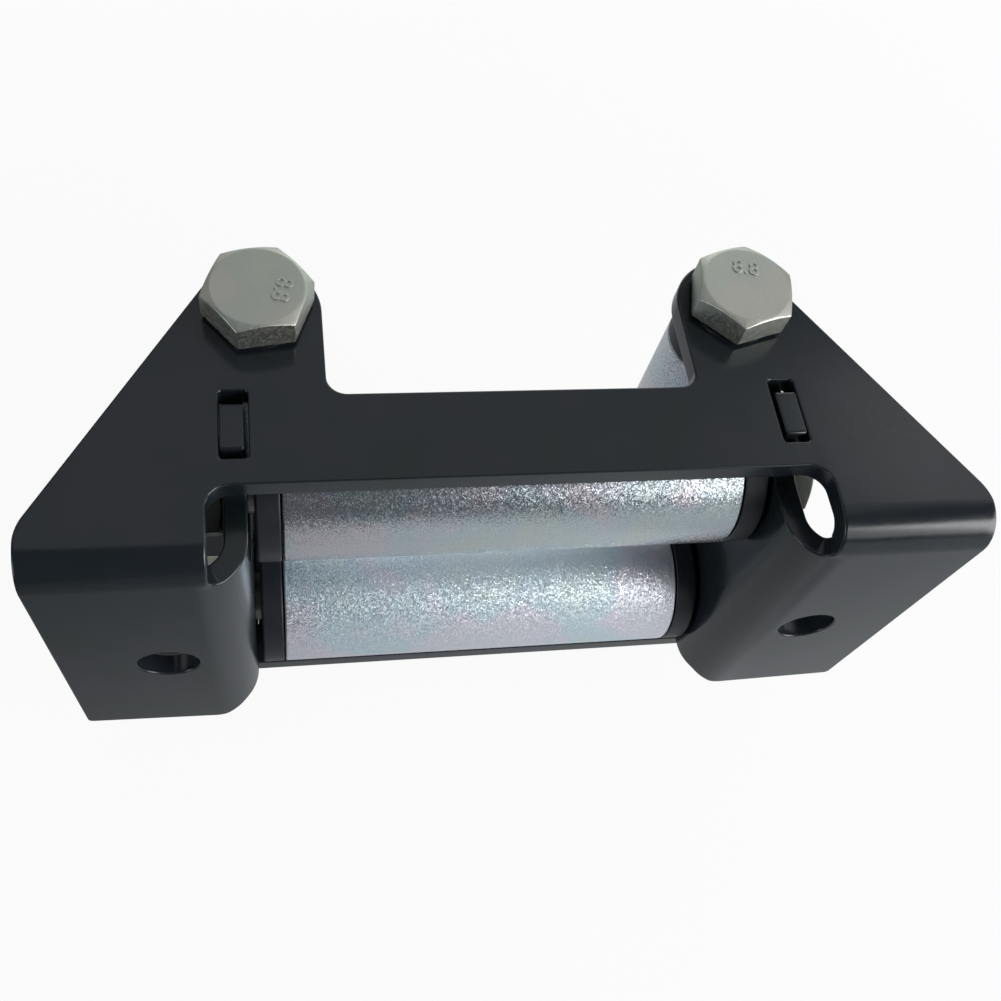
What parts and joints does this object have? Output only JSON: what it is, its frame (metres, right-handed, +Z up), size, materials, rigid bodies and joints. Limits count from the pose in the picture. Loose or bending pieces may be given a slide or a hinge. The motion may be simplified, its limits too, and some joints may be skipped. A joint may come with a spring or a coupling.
{
  "type": "roller fairlead",
  "caption": "Compact four-way roller fairlead: folded black bracket with zinc-plated rollers on hex bolts, guiding a winch rope from any side.",
  "frame": {"origin": "midway between the two mounting holes, on the plane of the flanges' rear faces, which lie on the winch plate", "axes": "+X to the right along the horizontal rollers, +Y forward out of the winch plate towards the load, +Z up along the vertical rollers"},
  "size_m": [0.162, 0.0597, 0.0993],
  "materials": {
    "black_coat": "gloss",
    "zinc_plate": "bright zinc plate",
    "black_nylon": "satin",
    "nylon_insert": "matte"
  },
  "bodies": {
    "bracket": {"mounting_bracket": "black_coat", "lower_plate": "black_coat", "left_plate_weld": "black_coat", "right_plate_weld": "black_coat", "upper_roller_bolt": "zinc_plate", "upper_roller_nut": "zinc_plate", "upper_roller_nut_insert": "nylon_insert", "lower_roller_bolt": "zinc_plate", "lower_roller_nut": "zinc_plate", "lower_roller_nut_insert": "nylon_insert", "left_roller_bolt": "zinc_plate", "left_roller_nut": "zinc_plate", "left_roller_nut_insert": "nylon_insert", "right_roller_bolt": "zinc_plate", "right_roller_nut": "zinc_plate", "right_roller_nut_insert": "nylon_insert"},
    "upper_roller": {"upper_roller_tube": "zinc_plate", "upper_roller_left_bushing": "black_nylon", "upper_roller_right_bushing": "black_nylon"},
    "lower_roller": {"lower_roller_tube": "zinc_plate", "lower_roller_left_bushing": "black_nylon", "lower_roller_right_bushing": "black_nylon"},
    "left_roller": {"left_roller_tube": "zinc_plate", "left_roller_upper_bushing": "black_nylon", "left_roller_lower_bushing": "black_nylon"},
    "right_roller": {"right_roller_tube": "zinc_plate", "right_roller_upper_bushing": "black_nylon", "right_roller_lower_bushing": "black_nylon"}
  },
  "joints": [
    {"name": "upper_roller_spin", "type": "hinge", "parent": "bracket", "child": "upper_roller", "pos_m": [0, 0.0248, 0.021], "axis": [1, 0, 0], "continuous": true},
    {"name": "lower_roller_spin", "type": "hinge", "parent": "bracket", "child": "lower_roller", "pos_m": [0, 0.0216, -0.021], "axis": [1, 0, 0], "continuous": true},
    {"name": "left_roller_spin", "type": "hinge", "parent": "bracket", "child": "left_roller", "pos_m": [-0.0436, 0.0488, 0], "axis": [0, 0, 1], "continuous": true},
    {"name": "right_roller_spin", "type": "hinge", "parent": "bracket", "child": "right_roller", "pos_m": [0.0436, 0.0488, 0], "axis": [0, 0, 1], "continuous": true}
  ]
}
